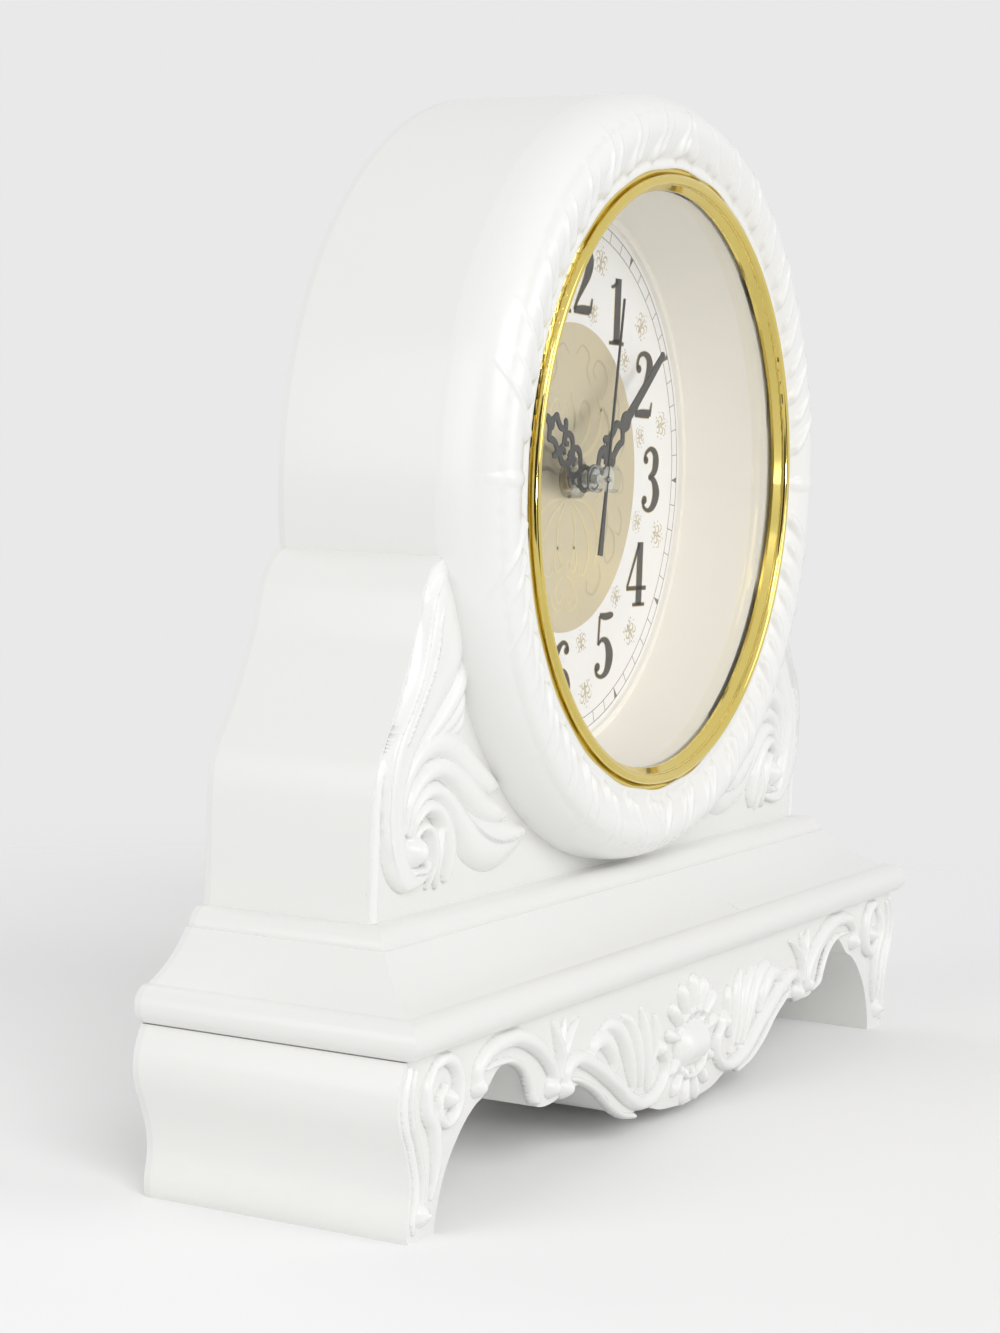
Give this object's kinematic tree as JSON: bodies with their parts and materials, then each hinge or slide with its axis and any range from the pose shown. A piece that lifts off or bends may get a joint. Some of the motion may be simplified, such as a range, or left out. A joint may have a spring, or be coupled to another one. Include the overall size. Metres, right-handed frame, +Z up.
{
  "type": "tambour mantel clock",
  "caption": "Round-drum mantel clock with scrolled shoulders, moulded plinth, arched apron and turning hands behind glass.",
  "frame": {"origin": "middle of the footprint's bounding box, on the surface that the feet stand on", "axes": "+X along the length, to the right as seen from the front; +Y from the dial towards the back cover; +Z up"},
  "size_m": [0.462, 0.11, 0.4],
  "materials": {
    "white_gloss": "high gloss moulded white",
    "white_cover": "moulded white, plain back covers",
    "gold_plated": "bright gold plating on plastic",
    "clear_glass": "clear flat glass",
    "seal": "thin soft seal",
    "cream": "satin cream wall of the recess",
    "dial_white": "printed white dial",
    "champagne": "printed champagne disc",
    "hand_black": "black stamped hands",
    "clear_acrylic": "clear moulded fittings of the hands",
    "brass_fittings": "turned brass nut and washer",
    "movement_black": "black moulded movement case",
    "wheel_plastic": "natural moulded wheels",
    "knob_plastic": "black setting knob",
    "magnet": "grey magnet with its pinion",
    "stator_steel": "soft iron stator",
    "bobbin_plastic": "natural bobbin",
    "copper": "enamelled copper wire",
    "board": "resin board",
    "chip_black": "black resin over the chip",
    "crystal_can": "plated can",
    "cell_jacket": "plain dark jacket",
    "contact_steel": "plated contact leaf",
    "screw_steel": "plated screws and pins"
  },
  "bodies": {
    "case": {"case_shell": "white_gloss", "rear_cover": "white_cover", "rear_cover_screws": "screw_steel", "door_hinge_pins": "screw_steel", "plinth": "white_gloss", "plinth_screws": "screw_steel", "base_frame": "white_gloss", "base_screws": "screw_steel", "base_rear_cover": "white_cover", "base_cover_screws": "screw_steel", "rim_wreath": "white_gloss", "shoulder_ornament_left": "white_gloss", "shoulder_ornament_right": "white_gloss", "apron_ornament": "white_gloss", "foot_ornament_left": "white_gloss", "foot_ornament_right": "white_gloss", "bezel": "gold_plated", "glass": "clear_glass", "glass_gasket": "seal", "recess_ring": "cream", "ring_screws": "screw_steel", "dial_plate": "dial_white", "dial_centre_disc": "champagne", "dial_washer": "brass_fittings", "dial_nut": "brass_fittings", "dial_boss": "clear_acrylic", "movement_front_housing": "movement_black", "middle_plate": "movement_black", "movement_rear_cover": "movement_black", "stator": "stator_steel", "coil_bobbin": "bobbin_plastic", "coil_winding": "copper", "circuit_board": "board", "ic_chip": "chip_black", "quartz_crystal": "crystal_can", "battery_contact_positive": "contact_steel", "battery_contact_negative": "contact_steel"},
    "seconds": {"second_wheel": "wheel_plastic", "second_hand": "hand_black", "second_cap": "clear_acrylic"},
    "minutes": {"centre_wheel": "wheel_plastic", "minute_hand": "hand_black", "minute_collar": "clear_acrylic"},
    "hours": {"hour_wheel": "wheel_plastic", "hour_hand": "hand_black", "hour_spacer": "clear_acrylic"},
    "setting": {"motion_wheel": "wheel_plastic", "setting_knob": "knob_plastic"},
    "third": {"third_wheel": "wheel_plastic"},
    "intermediate": {"intermediate_wheel": "wheel_plastic"},
    "rotor": {"rotor": "magnet"},
    "cell": {"battery": "cell_jacket"},
    "door": {"access_door": "white_cover"}
  },
  "joints": [
    {"name": "second_spin", "type": "hinge", "parent": "case", "child": "seconds", "pos_m": [0, 0, 0.25], "axis": [0, 1, 0], "continuous": true},
    {"name": "minute_spin", "type": "hinge", "parent": "case", "child": "minutes", "pos_m": [0, 0, 0.25], "axis": [0, 1, 0], "continuous": true},
    {"name": "hour_spin", "type": "hinge", "parent": "case", "child": "hours", "pos_m": [0, 0, 0.25], "axis": [0, 1, 0], "continuous": true},
    {"name": "setting_spin", "type": "hinge", "parent": "case", "child": "setting", "pos_m": [0.0096, 0, 0.25], "axis": [0, 1, 0], "continuous": true},
    {"name": "third_spin", "type": "hinge", "parent": "case", "child": "third", "pos_m": [0.00233, 0, 0.25869], "axis": [0, 1, 0], "continuous": true},
    {"name": "intermediate_spin", "type": "hinge", "parent": "case", "child": "intermediate", "pos_m": [-0.00616, 0, 0.25332], "axis": [0, 1, 0], "continuous": true},
    {"name": "rotor_spin", "type": "hinge", "parent": "case", "child": "rotor", "pos_m": [-0.01145, 0, 0.25616], "axis": [0, 1, 0], "continuous": true},
    {"name": "cell_slide", "type": "slide", "parent": "case", "child": "cell", "axis": [0, 1, 0], "range_m": [0, 0.016]},
    {"name": "door_swing", "type": "hinge", "parent": "case", "child": "door", "pos_m": [0, 0.05375, 0.21565], "axis": [-1, 0, 0], "range_deg": [0, 110]}
  ],
  "couplings": [
    {"joint": "minute_spin", "follows": "second_spin", "ratio": 0.016667},
    {"joint": "hour_spin", "follows": "second_spin", "ratio": 0.0013889},
    {"joint": "setting_spin", "follows": "second_spin", "ratio": -0.0055556},
    {"joint": "third_spin", "follows": "second_spin", "ratio": -0.13333},
    {"joint": "intermediate_spin", "follows": "second_spin", "ratio": -6},
    {"joint": "rotor_spin", "follows": "second_spin", "ratio": 30}
  ]
}
